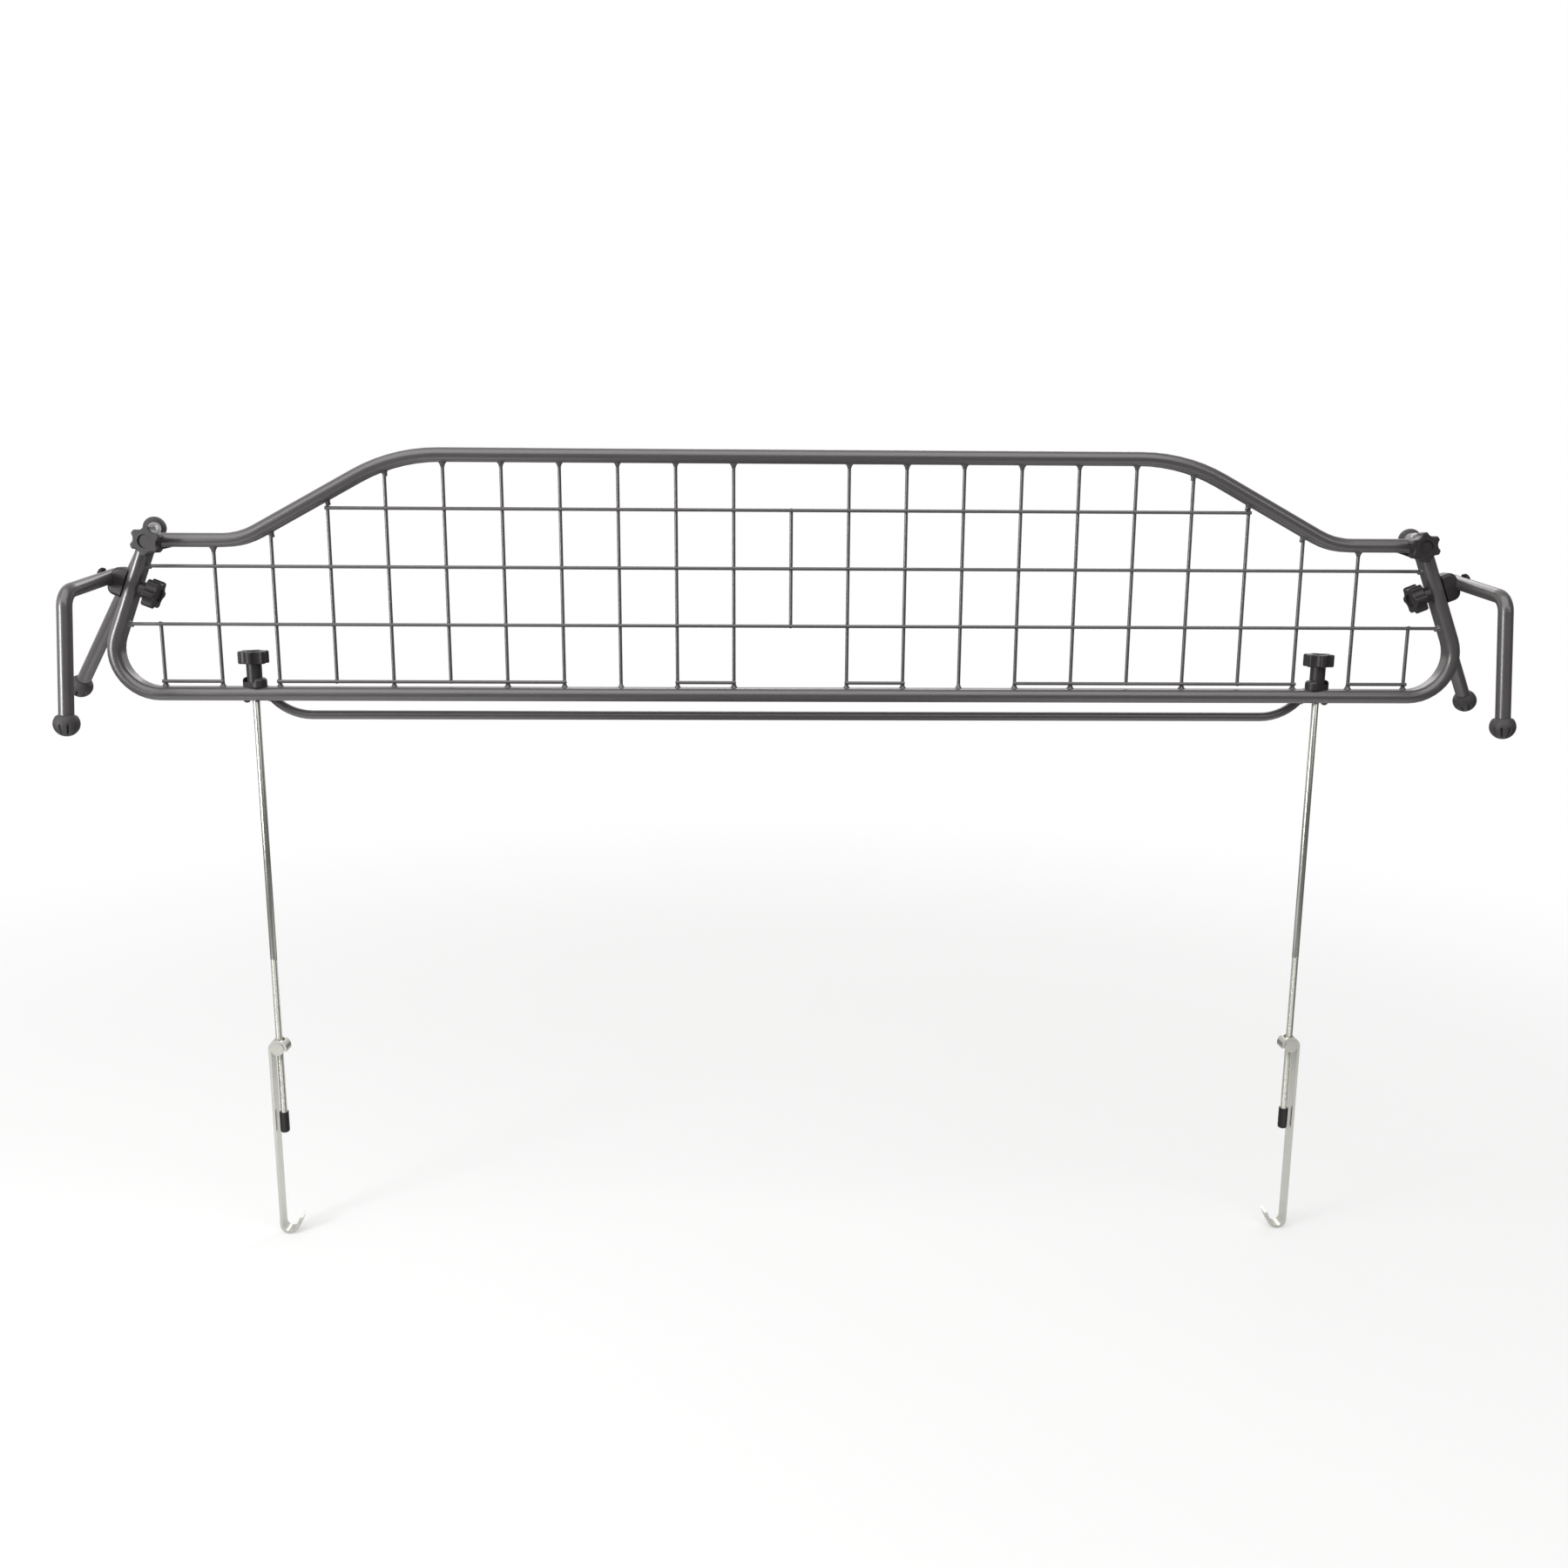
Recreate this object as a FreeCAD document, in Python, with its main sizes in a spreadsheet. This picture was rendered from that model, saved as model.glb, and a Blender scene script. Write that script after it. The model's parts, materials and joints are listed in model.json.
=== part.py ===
import FreeCAD, Part
import math
import os

import Sketcher
from FreeCAD import Placement, Rotation, Vector

os.makedirs("parts", exist_ok=True)
doc = FreeCAD.newDocument("dog_guard")

# Driving sizes in millimetres and degrees.
# Origin: middle of the bottom rail. +X to the right, +Y to the rear, +Z up.
SIZES = {
    # Frame loop of flat-oval tube, on its centreline
    "tube_width": 12,
    "tube_depth": 20,
    "tube_wall": 1.2,
    "top_height": 206,
    "top_corner_x": 340,
    "top_corner_radius": 150,
    "shoulder_height": 133,
    "shoulder_inner_x": 474.5,
    "shoulder_inner_radius": 65,
    "shoulder_outer_x": 554.5,
    "shoulder_outer_radius": 18,
    "bottom_corner_x": 607,
    "bottom_corner_radius": 37,
    # Grille wires
    "wire_diameter": 3,
    "wire_pitch": 50,
    "wire_stagger": 1.4,
    "low_row_height": 10.7,
    # Round bar behind the bottom rail
    "bar_diameter": 8,
    "bar_drop": 21,
    "bar_weld_sink": 0.1,
    "bar_bend_x": 449.5,
    "bar_bend_radius": 46,
    "bar_end_x": 468.3,
    "bar_end_height": 3,
    # Plugs under the bottom rail
    "plug_diameter": 6.5,
    "plug_x": 479.5,
    "plug_sink": 0.8,
    # Bolts and fits
    "bolt_diameter": 6,
    "bolt_head_diameter": 11,
    "bolt_head_height": 3.5,
    "bolt_head_round": 2.5,
    "bolt_clearance": 0.2,
    "running_clearance": 0.05,
    "face_gap": 0.3,
    "cut_overrun": 2,
    "tangent_match": 0.99,
    # Six-lobed knobs
    "knob_diameter": 26,
    "knob_head_height": 11,
    "knob_flute_radius": 6,
    "knob_flute_offset": 16.2,
    "knob_lobe_round": 1.6,
    "knob_edge_round": 1.2,
    "knob_dish_diameter": 12,
    "knob_dish_depth": 1.5,
    "knob_stem_diameter": 14,
    "knob_stem_height": 6,
    "knob_bore_depth": 12,
    "corner_knob_turn": 10,
    "rod_stem_diameter": 13,
    "rod_stem_height": 16,
    "rod_bore_depth": 22.6,
    # Corner clamps with the rear arms
    "corner_bolt_x": 546.5,
    "corner_bolt_height": 132.2,
    "corner_saddle_length": 17,
    "corner_saddle_height": 11,
    "corner_saddle_web": 8,
    "corner_saddle_grip": 4,
    "lug_thickness": 3,
    "lug_radius": 6.5,
    "lug_reach_out": 15,
    "lug_reach_down": 4,
    "rear_corner_out": 11.8,
    "rear_corner_up": 7,
    "rear_corner_behind": 17.6,
    "rear_upper_radius": 49.4,
    "rear_upper_angle": 9.1,
    "rear_upper_behind": 110,
    "rear_lower_radius": 170.5,
    "rear_lower_angle": 36.1,
    "rear_lower_behind": 60,
    "rear_bend_radius": 14,
    "right_arm_swing": -3.6,
    "left_arm_swing": 2.4,
    # Bent arm tubes and ball feet
    "arm_diameter": 12,
    "arm_wall": 1.2,
    "foot_diameter": 21,
    # Side clamps with the front arms
    "side_bolt_height": 93.2,
    "side_saddle_length": 25,
    "side_saddle_width": 16,
    "side_saddle_web": 9.5,
    "side_saddle_grip": 3.5,
    "side_saddle_round": 3,
    "side_saddle_crown": 7,
    "front_tail": 9,
    "front_slope": 7.8,
    "front_reach": 75.6,
    "front_splay": 1.9,
    "front_lean": 4.7,
    "front_drop": 106.4,
    "front_bend_radius": 14,
    # Hook rods through the bottom rail
    "rod_x": 471.5,
    "rod_diameter": 6,
    "rod_hole_clearance": 0.35,
    "rod_top": 23,
    "rod_end_drop": 409.5,
    "rod_saddle_length": 22.6,
    "rod_saddle_width": 14,
    "rod_saddle_height": 8.2,
    "rod_saddle_web": 4.4,
    "rod_saddle_valley": 13.5,
    "rod_saddle_turn": 27.5,
    "rod_saddle_round": 3,
    "rod_saddle_end_round": 6.5,
    "cap_diameter": 8.4,
    "cap_length": 20,
    "cap_end_wall": 4.3,
    "cap_round": 2,
    # Barrel nuts and strip hooks
    "nut_diameter": 11.9,
    "nut_length": 14,
    "nut_drop": 329.8,
    "hook_thickness": 2.5,
    "hook_width": 12.8,
    "hook_inner_radius": 6,
    "hook_curl_tail": 2,
    "hook_drop": 176,
    "hook_turn": 154,
    "hook_tip": 12,
    "slot_clearance": 0.5,
    "slot_inboard_angle": 35,
    "slot_outboard_angle": 62,
}

sheet = doc.addObject("Spreadsheet::Sheet", "Sizes")
for row, (alias, value) in enumerate(SIZES.items(), 1):
    sheet.set(f"A{row}", alias)
    sheet.set(f"B{row}", str(value))
    sheet.setAlias(f"B{row}", alias)
doc.recompute()
size = {alias: float(sheet.get(alias)) for alias in SIZES}

UP = Vector(0, 0, 1)
REAR = Vector(0, 1, 0)
OUTBOARD = Vector(1, 0, 0)
LOBES = 6
FULL_TURN = 360
# Sketcher's numbers for its X axis, its origin point and a circle's centre
X_AXIS = -1
ORIGIN = 1
CENTRE = 3
nodes = []


# Building blocks
def node(item, label):
    """Name a finished piece and list it for export."""
    item.Label = label
    nodes.append(item)
    return item


def primitive(kind, name, place, **formulas):
    """Part primitive whose sizes follow the sheet."""
    item = doc.addObject("Part::" + kind, name)
    for prop, formula in formulas.items():
        item.setExpression(prop, formula)
    item.Placement = place
    return item


def along(point, direction):
    """Placement with its Z axis along a direction."""
    return Placement(point, Rotation(UP, direction))


def cylinder(name, point, direction, radius, height):
    """Cylinder from a point: radius and height are sheet formulas."""
    return primitive("Cylinder", name, along(point, direction), Radius=radius, Height=height)


def cut(name, base, *tools):
    """Base with each tool taken out in turn."""
    for count, tool in enumerate(tools):
        item = doc.addObject("Part::Cut", f"{name}_cut{count}")
        item.Base = base
        item.Tool = tool
        base = item
    return base


def fuse(name, *pieces):
    item = doc.addObject("Part::MultiFuse", name)
    item.Shapes = list(pieces)
    return item


def group(name, *pieces):
    item = doc.addObject("Part::Compound", name)
    item.Links = list(pieces)
    return item


def rounded(name, base, radius, chosen):
    """Fillet of the edges that a test picks."""
    doc.recompute()
    item = doc.addObject("Part::Fillet", name)
    item.Base = base
    item.Edges = [
        (number, radius, radius)
        for number, edge in enumerate(base.Shape.Edges, 1)
        if chosen(edge)
    ]
    return item


def mirrored(source, label):
    """The same piece on the left-hand side."""
    item = doc.addObject("Part::Mirroring", label)
    item.Source = source
    item.Normal = OUTBOARD
    item.Base = Vector(0, 0, 0)
    return node(item, label)


def both_sides(item, name):
    """A right-hand piece and its mirror image on the left."""
    node(item, "right_" + name)
    mirrored(item, "left_" + name)
    return item


def bent_path(points, radii, closed=False):
    """Straight runs joined by tangent arcs; radius zero leaves a plain point."""
    stations = []
    for index, (point, radius) in enumerate(zip(points, radii)):
        if radius == 0:
            stations.append((point, None, point))
            continue
        back = (points[index - 1] - point).normalize()
        ahead = (points[(index + 1) % len(points)] - point).normalize()
        half = back.getAngle(ahead) / 2
        run = radius / math.tan(half)
        inward = (back + ahead).normalize()
        middle = point + inward * (radius / math.sin(half) - radius)
        stations.append((point + back * run, middle, point + ahead * run))
    edges = []
    for index, (start, middle, end) in enumerate(stations):
        if middle:
            edges.append(Part.Arc(start, middle, end).toShape())
        following = stations[(index + 1) % len(stations)]
        if closed or index + 1 < len(stations):
            edges.append(Part.LineSegment(end, following[0]).toShape())
    return Part.Wire(edges)


def outline(name, shape):
    item = doc.addObject("Part::Feature", name)
    item.Shape = shape
    return item


def sweep(name, path, section):
    """Solid section carried along a bent path."""
    item = doc.addObject("Part::Sweep", name)
    item.Sections = [outline(name + "_section", section)]
    edges = [f"Edge{number}" for number, edge in enumerate(path.Edges, 1)]
    item.Spine = (outline(name + "_path", path), edges)
    item.Solid = True
    item.Frenet = False
    return item


def ring(point, direction, radius):
    return Part.Wire(Part.Circle(point, direction, radius).toShape())


def round_tube(name, points, radii):
    """Outer solid and hollow of a bent arm tube."""
    path = bent_path(points, radii)
    heading = (points[1] - points[0]).normalize()
    outer_radius = size["arm_diameter"] / 2
    outer = sweep(name + "_outer", path, ring(points[0], heading, outer_radius))
    bore = sweep(name + "_bore", path, ring(points[0], heading, outer_radius - size["arm_wall"]))
    return outer, bore


# Frame tube
def oval(half_width, half_depth):
    """Flat-oval section across the bottom rail, round ends to front and rear."""
    flat = half_depth - half_width
    corners = [Vector(0, y, z) for y, z in (
        (-flat, -half_width), (flat, -half_width), (flat, half_width), (-flat, half_width))]
    rear = Vector(0, half_depth, 0)
    front = Vector(0, -half_depth, 0)
    return Part.Wire([
        Part.LineSegment(corners[0], corners[1]).toShape(),
        Part.Arc(corners[1], rear, corners[2]).toShape(),
        Part.LineSegment(corners[2], corners[3]).toShape(),
        Part.Arc(corners[3], front, corners[0]).toShape(),
    ])


def frame_corner(side, x_alias, z_alias=None):
    return Vector(side * size[x_alias], 0, size[z_alias] if z_alias else 0)


half_loop = [
    ("bottom_corner_x", None, "bottom_corner_radius"),
    ("shoulder_outer_x", "shoulder_height", "shoulder_outer_radius"),
    ("shoulder_inner_x", "shoulder_height", "shoulder_inner_radius"),
    ("top_corner_x", "top_height", "top_corner_radius"),
]
right_corners = [frame_corner(1, x, z) for x, z, radius in half_loop]
left_corners = [frame_corner(-1, x, z) for x, z, radius in reversed(half_loop)]
corner_radii = [size[radius] for x, z, radius in half_loop]
loop_points = [Vector(0, 0, 0)] + right_corners + left_corners
loop_radii = [0] + corner_radii + corner_radii[::-1]
loop_path = bent_path(loop_points, loop_radii, closed=True)

half_width = size["tube_width"] / 2
half_depth = size["tube_depth"] / 2
wall = size["tube_wall"]
envelope = sweep("frame_envelope", loop_path, oval(half_width, half_depth))
hollow = sweep("frame_hollow", loop_path, oval(half_width - wall, half_depth - wall))

rail_down = (right_corners[0] - right_corners[1]).normalize()
rail_out = rail_down.cross(REAR).normalize()
if rail_out.x < 0:
    rail_out = rail_out * -1
slope_share = (size["shoulder_height"] - size["side_bolt_height"]) / size["shoulder_height"]
side_bolt_centre = right_corners[1] + (right_corners[0] - right_corners[1]) * slope_share
corner_bolt_centre = Vector(size["corner_bolt_x"], 0, size["corner_bolt_height"])
rod_centre = Vector(size["rod_x"], 0, 0)

HOLE = "Sizes.bolt_diameter / 2 + Sizes.bolt_clearance"
ROD_HOLE = "Sizes.rod_diameter / 2 + Sizes.rod_hole_clearance"
THROUGH = "Sizes.tube_depth + 2 * Sizes.cut_overrun"
reach_through = half_depth + size["cut_overrun"]
right_holes = [
    cylinder("corner_bolt_hole", corner_bolt_centre - REAR * reach_through, REAR, HOLE, THROUGH),
    cylinder("side_bolt_hole", side_bolt_centre - rail_out * reach_through, rail_out, HOLE, THROUGH),
    cylinder("rod_hole", rod_centre - UP * reach_through, UP, ROD_HOLE, THROUGH),
]
left_holes = []
for hole in right_holes:
    twin = doc.addObject("Part::Mirroring", hole.Name + "_left")
    twin.Source = hole
    twin.Normal = OUTBOARD
    left_holes.append(twin)
node(cut("frame_tube", envelope, hollow, *right_holes, *left_holes), "frame_tube")

# Grille wires
pitch = size["wire_pitch"]
wire_end = size["wire_diameter"] / 2
rows = [size["low_row_height"] + pitch * step for step in range(4)]
low_row, third_row, second_row, top_row = rows
WIRE = "Sizes.wire_diameter / 2"


def wire(name, start, end):
    item = doc.addObject("Part::Cylinder", name)
    item.setExpression("Radius", WIRE)
    item.Height = (end - start).Length
    item.Placement = along(start, end - start)
    return item


def level_wire(name, x_start, x_end, height):
    front = -size["wire_stagger"]
    return wire(name, Vector(x_start, front, height), Vector(x_end, front, height))


def rail_height(x):
    """Height of the upper centreline above a point of the bottom rail."""
    column = Part.LineSegment(Vector(x, 0, half_depth), Vector(x, 0, 2 * size["top_height"]))
    gap, meetings, kinds = column.toShape().distToShape(loop_path)
    return meetings[0][0].z


def rail_x(height):
    """Distance of the side rail's centreline from the middle."""
    share = (size["shoulder_height"] - height) / size["shoulder_height"]
    return (right_corners[1] + (right_corners[0] - right_corners[1]) * share).x


level_wires = [
    level_wire("top_row_wire", -8 * pitch - wire_end, 8 * pitch + wire_end, top_row),
    level_wire("second_row_wire", -rail_x(second_row), rail_x(second_row), second_row),
    level_wire("third_row_wire", -rail_x(third_row), rail_x(third_row), third_row),
]
for first, last in ((-11, -10), (-9, -4), (-2, -1), (1, 2), (4, 9), (10, 11)):
    name = f"low_row_wire_{len(level_wires)}"
    level_wires.append(
        level_wire(name, first * pitch - wire_end, last * pitch + wire_end, low_row))
node(cut("level_wires", group("level_wire_stock", *level_wires), envelope),
     "mesh_horizontal_wires")

upright_wires = []
for step in range(-11, 12):
    place = abs(step)
    if place == 0:
        low, high = third_row - wire_end, top_row + wire_end
    elif place == 11:
        low, high = 0, third_row + wire_end
    else:
        low = low_row - wire_end if place in (6, 8) else 0
        high = rail_height(place * pitch)
    column = Vector(step * pitch, size["wire_stagger"], 0)
    upright_wires.append(wire(f"upright_wire_{step + 11}", column + UP * low, column + UP * high))
node(cut("upright_wires", group("upright_wire_stock", *upright_wires), envelope),
     "mesh_vertical_wires")

# Round bar behind the bottom rail
bar_behind = half_depth + size["bar_diameter"] / 2 - size["bar_weld_sink"]
bar_half = [
    Vector(size["bar_bend_x"], bar_behind, -size["bar_drop"]),
    Vector(size["bar_end_x"], bar_behind, size["bar_end_height"]),
]
bar_points = [Vector(-p.x, p.y, p.z) for p in bar_half[::-1]] + bar_half
bar_radii = [0, size["bar_bend_radius"], size["bar_bend_radius"], 0]
bar_heading = (bar_points[1] - bar_points[0]).normalize()
bar_section = ring(bar_points[0], bar_heading, size["bar_diameter"] / 2)
bar_stock = sweep("lower_bar", bent_path(bar_points, bar_radii), bar_section)
node(cut("lower_rear_bar", bar_stock, envelope), "lower_rear_bar")

# Plugs under the bottom rail
plug_level = size["plug_sink"] - half_width
plugs = [
    primitive("Sphere", name, Placement(Vector(x, 0, plug_level), Rotation()),
              Radius="Sizes.plug_diameter / 2")
    for name, x in (("right_plug", size["plug_x"]), ("left_plug", -size["plug_x"]))
]
node(cut("rail_plugs", group("plug_stock", *plugs), envelope), "rail_drain_plugs")


# Six-lobed knobs
def sketch_on(body, name, height=None):
    """Sketch on a body's XY plane, lifted by a sheet formula."""
    item = body.newObject("Sketcher::SketchObject", name)
    flat = next(plane for plane in body.Origin.OriginFeatures if plane.Role == "XY_Plane")
    item.AttachmentSupport = [(flat, "")]
    item.MapMode = "FlatFace"
    if height:
        item.setExpression("AttachmentOffset.Base.z", height)
    return item


def draw_circle(sketch, radius, offset=None):
    """Circle about the origin, or about a point out on the X axis."""
    centre = Vector(size["knob_flute_offset"] if offset else 0, 0, 0)
    circle = sketch.addGeometry(Part.Circle(centre, UP, size["bolt_diameter"]))
    if offset:
        sketch.addConstraint(Sketcher.Constraint("PointOnObject", circle, CENTRE, X_AXIS))
        rule = sketch.addConstraint(Sketcher.Constraint(
            "DistanceX", X_AXIS, ORIGIN, circle, CENTRE, size["knob_flute_offset"]))
        sketch.setExpression(f"Constraints[{rule}]", offset)
    else:
        sketch.addConstraint(Sketcher.Constraint("Coincident", circle, CENTRE, X_AXIS, ORIGIN))
    rule = sketch.addConstraint(Sketcher.Constraint("Radius", circle, size["bolt_diameter"]))
    sketch.setExpression(f"Constraints[{rule}]", radius)


def knob_feature(body, kind, name, sketch, length, upward=True):
    """Pad or pocket of a sketch, upward or downward."""
    item = body.newObject("PartDesign::" + kind, name)
    item.Profile = sketch
    item.setExpression("Length", length)
    item.Reversed = upward if kind == "Pocket" else not upward
    return item


def knob_round(body, name, base, radius, chosen):
    doc.recompute()
    item = body.newObject("PartDesign::Fillet", name)
    item.Base = (base, [
        f"Edge{number}" for number, edge in enumerate(base.Shape.Edges, 1) if chosen(edge)])
    item.setExpression("Radius", radius)
    return item


def knob(name, place, stem_diameter, stem_height, thread_diameter, bore_depth):
    """Knob on its stem, stem end at the body's origin, bored for a thread."""
    body = doc.addObject("PartDesign::Body", name)
    base_level = size[stem_height]
    top_level = base_level + size["knob_head_height"]
    lift = f"Sizes.{stem_height}"
    head_top = f"Sizes.{stem_height} + Sizes.knob_head_height"

    head_sketch = sketch_on(body, name + "_head_sketch", lift)
    draw_circle(head_sketch, "Sizes.knob_diameter / 2")
    head = knob_feature(body, "Pad", name + "_head", head_sketch, "Sizes.knob_head_height")

    flute_sketch = sketch_on(body, name + "_flute_sketch", lift)
    draw_circle(flute_sketch, "Sizes.knob_flute_radius", "Sizes.knob_flute_offset")
    flute = knob_feature(body, "Pocket", name + "_flute", flute_sketch, "Sizes.knob_head_height")
    pattern = body.newObject("PartDesign::PolarPattern", name + "_flutes")
    pattern.Originals = [flute]
    pattern.Axis = (flute_sketch, ["N_Axis"])
    pattern.Angle = FULL_TURN
    pattern.Occurrences = LOBES
    body.Tip = pattern

    def upright(edge):
        box = edge.BoundBox
        straight = box.DiagonalLength < box.ZLength + size["face_gap"]
        return straight and box.ZLength > size["knob_head_height"] / 2

    def rim(edge):
        box = edge.BoundBox
        ends = abs(box.ZMin - top_level), abs(box.ZMax - base_level)
        return box.ZLength < size["face_gap"] and min(ends) < size["face_gap"]

    lobes = knob_round(body, name + "_lobes", pattern, "Sizes.knob_lobe_round", upright)
    edges = knob_round(body, name + "_edges", lobes, "Sizes.knob_edge_round", rim)

    dish_sketch = sketch_on(body, name + "_dish_sketch", head_top)
    draw_circle(dish_sketch, "Sizes.knob_dish_diameter / 2")
    knob_feature(body, "Pocket", name + "_dish", dish_sketch, "Sizes.knob_dish_depth", upward=False)

    stem_sketch = sketch_on(body, name + "_stem_sketch")
    draw_circle(stem_sketch, f"Sizes.{stem_diameter} / 2")
    knob_feature(body, "Pad", name + "_stem", stem_sketch, f"Sizes.{stem_height}")

    bore_sketch = sketch_on(body, name + "_bore_sketch")
    draw_circle(bore_sketch, f"Sizes.{thread_diameter} / 2 + Sizes.running_clearance")
    knob_feature(body, "Pocket", name + "_bore", bore_sketch, f"Sizes.{bore_depth}")
    body.Placement = place
    return body


def turned(point, direction, angle):
    """Placement along a direction, turned about its own axis."""
    return Placement(point, Rotation(UP, direction) * Rotation(UP, angle))


def clamp_bolt(name, head_point, direction, length):
    """Bolt with a domed head: head at the point, shank along the direction."""
    shank = doc.addObject("Part::Cylinder", name + "_shank")
    shank.setExpression("Radius", "Sizes.bolt_diameter / 2")
    shank.Height = length
    shank.Placement = along(head_point, direction)
    head = cylinder(name + "_head", head_point, direction * -1,
                    "Sizes.bolt_head_diameter / 2", "Sizes.bolt_head_height")
    far = head_point - direction * size["bolt_head_height"]
    dome = rounded(
        name + "_dome", head, size["bolt_head_round"],
        lambda edge: edge.isClosed()
        and edge.BoundBox.Center.distanceToPoint(far) < size["face_gap"])
    return fuse(name, shank, dome)


# Corner clamps: front knob, bolt, rear saddle, lug and V-shaped rear arm
knob_face = half_depth + size["face_gap"]
corner_knob_place = turned(
    corner_bolt_centre - REAR * knob_face, REAR * -1, size["corner_knob_turn"])
corner_knob = knob(
    "corner_knob", corner_knob_place,
    "knob_stem_diameter", "knob_stem_height", "bolt_diameter", "knob_bore_depth")
both_sides(corner_knob, "corner_star_knob")

saddle_back = half_depth + size["corner_saddle_web"]
lug_back = saddle_back + size["lug_thickness"]
thread_reach = size["knob_bore_depth"] - size["cut_overrun"]
both_sides(clamp_bolt("corner_bolt", corner_bolt_centre + REAR * lug_back, REAR * -1,
                      lug_back + knob_face + thread_reach), "corner_bolt")

saddle_corner = corner_bolt_centre + Vector(
    -size["corner_saddle_length"] / 2, half_depth - size["corner_saddle_grip"],
    -size["corner_saddle_height"] / 2)
saddle_block = primitive(
    "Box", "corner_saddle_block", Placement(saddle_corner, Rotation()),
    Length="Sizes.corner_saddle_length",
    Width="Sizes.corner_saddle_web + Sizes.corner_saddle_grip",
    Height="Sizes.corner_saddle_height")
corner_saddle_hole = cylinder(
    "corner_saddle_hole", corner_bolt_centre, REAR, HOLE, "2 * Sizes.tube_depth")
both_sides(cut("corner_saddle", saddle_block, envelope, corner_saddle_hole), "corner_saddle")

PIVOT_HOLE = "Sizes.bolt_diameter / 2 + Sizes.running_clearance"


def ball_foot(name, centre, elbow, tube):
    """Ball on a tube's end, its pole towards the tube."""
    ball = primitive("Sphere", name + "_ball", along(centre, elbow - centre),
                     Radius="Sizes.foot_diameter / 2")
    return cut(name, ball, tube)


def rear_arm(side, sign):
    """V-shaped arm with its lug and feet, swung about the corner bolt."""
    swing = math.radians(size[side + "_arm_swing"])
    bolt_centre = Vector(sign * corner_bolt_centre.x, 0, corner_bolt_centre.z)

    def from_bolt(outward, upward, behind):
        across = outward * math.cos(swing) - upward * math.sin(swing)
        lift = upward * math.cos(swing) + outward * math.sin(swing)
        return bolt_centre + Vector(sign * across, behind, lift)

    upper_angle = math.radians(size["rear_upper_angle"])
    lower_angle = math.radians(size["rear_lower_angle"])
    upper_ball = from_bolt(size["rear_upper_radius"] * math.cos(upper_angle),
                           size["rear_upper_radius"] * math.sin(upper_angle),
                           size["rear_upper_behind"])
    lower_ball = from_bolt(size["rear_lower_radius"] * math.sin(lower_angle),
                           -size["rear_lower_radius"] * math.cos(lower_angle),
                           size["rear_lower_behind"])
    elbow = from_bolt(size["rear_corner_out"], size["rear_corner_up"],
                      size["rear_corner_behind"])
    name = side + "_rear_arm"
    outer, bore = round_tube(
        name, [upper_ball, elbow, lower_ball], [0, size["rear_bend_radius"], 0])
    node(cut(name + "_body", outer, bore), name + "_tube")
    node(ball_foot(name + "_upper", upper_ball, elbow, outer), name + "_upper_foot")
    node(ball_foot(name + "_lower", lower_ball, elbow, outer), name + "_lower_foot")

    lug_near = bolt_centre + REAR * saddle_back
    lug_far = from_bolt(size["lug_reach_out"], -size["lug_reach_down"], saddle_back)
    lug_run = lug_far - lug_near
    lug_axis = Vector(lug_run).normalize()
    lug_side = lug_axis.cross(REAR)
    rounds = [cylinder(f"{name}_lug_{end}", centre, REAR, "Sizes.lug_radius", "Sizes.lug_thickness")
              for end, centre in (("eye", lug_near), ("toe", lug_far))]
    web = primitive(
        "Box", name + "_lug_web",
        Placement(lug_near - lug_side * size["lug_radius"],
                  Rotation(lug_axis, REAR, lug_side, "XYZ")),
        Width="Sizes.lug_thickness", Height="2 * Sizes.lug_radius")
    web.Length = lug_run.Length
    eye = cylinder(name + "_lug_hole", bolt_centre, REAR, PIVOT_HOLE, "2 * Sizes.tube_depth")
    node(cut(name + "_lug_body", fuse(name + "_lug_stock", *rounds, web), outer, eye),
         name + "_lug")


rear_arm("right", 1)
rear_arm("left", -1)

# Side clamps: inner knob, bolt, saddle and bent front arm
side_knob = knob(
    "side_knob", along(side_bolt_centre - rail_out * half_width, rail_out * -1),
    "knob_stem_diameter", "knob_stem_height", "bolt_diameter", "knob_bore_depth")
both_sides(side_knob, "side_knob")

arm_radius = size["arm_diameter"] / 2
arm_offset = half_width + size["side_saddle_web"] + arm_radius
head_seat = arm_offset + arm_radius + size["face_gap"]
both_sides(clamp_bolt("side_bolt", side_bolt_centre + rail_out * head_seat, rail_out * -1,
                      head_seat + half_width + thread_reach), "side_bolt")

arm_pivot = side_bolt_centre + rail_out * arm_offset
slope = math.radians(size["front_slope"])
splay = math.radians(size["front_splay"])
lean = math.radians(size["front_lean"])
short_run = rail_down * math.sin(slope) - REAR * math.cos(slope)
hang = Vector(math.sin(splay), 0, -math.cos(splay))
long_run = hang * math.cos(lean) - REAR * math.sin(lean)
arm_tail = arm_pivot - short_run * size["front_tail"]
arm_elbow = arm_pivot + short_run * size["front_reach"]
front_ball = arm_elbow + long_run * size["front_drop"]
front_outer, front_bore = round_tube(
    "front_arm", [arm_tail, arm_elbow, front_ball], [0, size["front_bend_radius"], 0])
pivot_hole = cylinder("pivot_hole", side_bolt_centre, rail_out, PIVOT_HOLE, "4 * Sizes.tube_depth")
both_sides(cut("front_arm", front_outer, front_bore, pivot_hole), "front_arm_tube")
front_foot = ball_foot("front_foot", front_ball, arm_elbow, front_outer)
both_sides(front_foot, "front_arm_foot")

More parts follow.
